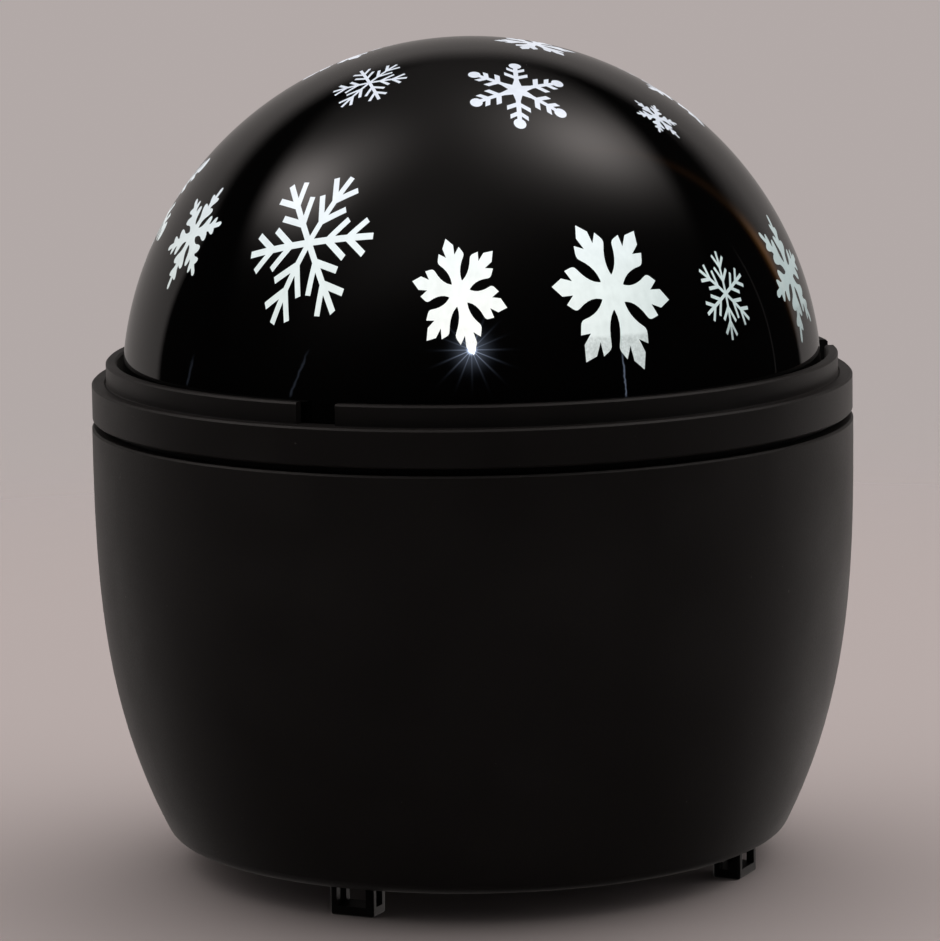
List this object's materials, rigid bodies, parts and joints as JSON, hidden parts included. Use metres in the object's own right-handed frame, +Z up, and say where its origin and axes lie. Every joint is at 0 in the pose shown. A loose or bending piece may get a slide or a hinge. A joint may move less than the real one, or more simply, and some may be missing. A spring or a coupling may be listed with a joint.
{
  "type": "snowflake projector lamp",
  "caption": "Table lamp whose glossy black dome with clear snowflake windows turns over a central LED and throws snowflakes on the walls, on a black battery pot with cage feet.",
  "frame": {"origin": "middle of the plane that the four feet stand on", "axes": "+Z up along the dome's turning axis, the pictured front is -Y, +X to the right seen from the front"},
  "size_m": [0.1202, 0.1202, 0.1304],
  "materials": {
    "pot_plastic": "fine spark-textured black ABS",
    "collar_plastic": "satin black ABS with polished edges",
    "cover_plastic": "satin black ABS",
    "dome_print": "clear polycarbonate, black print with clear snowflake windows, polished",
    "deck_plastic": "satin dark grey ABS",
    "table_plastic": "satin white ABS",
    "gear_plastic": "natural acetal",
    "steel": "zinc-plated steel",
    "nickel": "nickel-plated spring steel",
    "motor_steel": "drawn steel",
    "gearbox_brass": "stamped brass",
    "cell_label": "plain printed sleeve",
    "board_laminate": "green solder resist on glass-epoxy",
    "led_board_laminate": "white solder resist",
    "chip_epoxy": "moulded black epoxy",
    "capacitor_sleeve": "shrink sleeve",
    "resistor_ceramic": "thick film chip",
    "connector_nylon": "natural nylon",
    "wire_insulation": "soft PVC",
    "led_lens": "water-clear epoxy",
    "knob_plastic": "satin black ABS"
  },
  "bodies": {
    "base": {"body_shell": "pot_plastic", "collar_ring": "collar_plastic", "base_cover": "cover_plastic", "base_screws": "steel", "battery_cells": "cell_label", "contact_plates": "nickel", "cell_springs": "nickel", "switch_housing": "steel", "switch_screws": "steel", "control_board": "board_laminate", "board_screws": "steel", "control_chip": "chip_epoxy", "filter_capacitor": "capacitor_sleeve", "resistors": "resistor_ceramic", "wire_connectors": "connector_nylon", "wire_set": "wire_insulation", "deck_plate": "deck_plastic", "collar_screws": "steel", "led_post": "deck_plastic", "post_screws": "steel", "retaining_ring": "steel", "led_board": "led_board_laminate", "led_board_screws": "steel", "projector_led": "led_lens", "gearbox_case": "gearbox_brass", "motor_can": "motor_steel", "motor_end_cap": "connector_nylon", "motor_terminals": "nickel", "motor_screws": "steel"},
    "turntable": {"turntable": "table_plastic", "hub_bush": "gear_plastic", "table_gear": "gear_plastic", "gear_screws": "steel"},
    "pinion": {"motor_pinion": "gear_plastic", "output_shaft": "motor_steel"},
    "dome": {"projection_dome": "dome_print"},
    "slider": {"switch_slider": "knob_plastic"},
    "door": {"battery_door": "cover_plastic"}
  },
  "joints": [
    {"name": "turntable_spin", "type": "hinge", "parent": "base", "child": "turntable", "pos_m": [0, 0, 0.0726], "axis": [0, 0, 1], "continuous": true},
    {"name": "pinion_spin", "type": "hinge", "parent": "base", "child": "pinion", "pos_m": [0.036, 0, 0.0688], "axis": [0, 0, 1], "continuous": true},
    {"name": "dome_lift", "type": "slide", "parent": "turntable", "child": "dome", "axis": [0, 0, 1], "range_m": [0, 0.07]},
    {"name": "switch_slide", "type": "slide", "parent": "base", "child": "slider", "axis": [1, 0, 0], "range_m": [-0.004, 0]},
    {"name": "door_swing", "type": "hinge", "parent": "base", "child": "door", "pos_m": [-0.02935, 0, 0.0056], "axis": [0, 1, 0], "range_deg": [0, 90]}
  ],
  "couplings": [
    {"joint": "pinion_spin", "follows": "turntable_spin", "ratio": -4}
  ]
}
